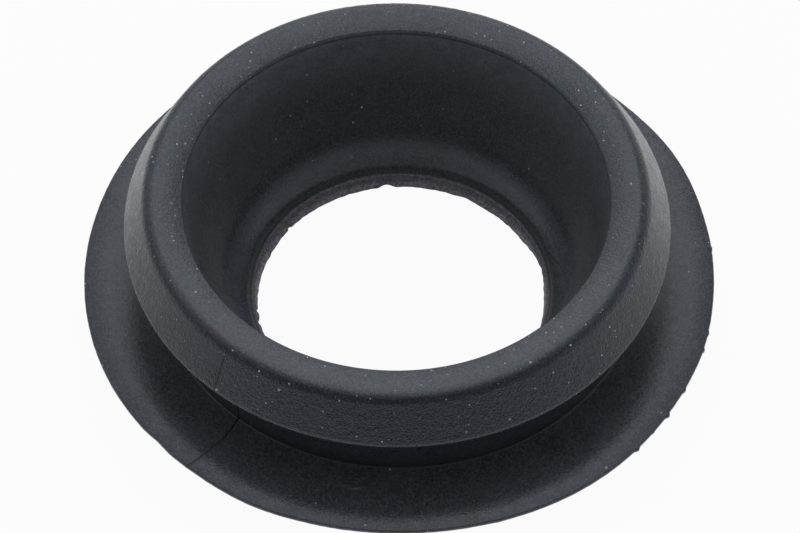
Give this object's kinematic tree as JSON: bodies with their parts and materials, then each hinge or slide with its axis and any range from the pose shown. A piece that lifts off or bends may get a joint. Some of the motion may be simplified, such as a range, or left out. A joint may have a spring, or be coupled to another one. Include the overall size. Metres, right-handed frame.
{
  "type": "trunk lock seal",
  "caption": "Round moulded rubber seal ring with a feather-edged flange, a snap-in head with a panel groove, and a tapered pocket with a hole for a lock barrel.",
  "frame": {"origin": "centre of the flat base ring round the lock hole, on the surface the seal stands on", "axes": "+Z along the seal's axis, from the base up to the mouth of the head; X and Y across the flange"},
  "size_m": [0.05, 0.05, 0.0138],
  "materials": {
    "rubber": "matt black moulded rubber, sandblasted grain on the flank of the head"
  },
  "bodies": {
    "root": {"lock_seal": "rubber"}
  },
  "joints": []
}
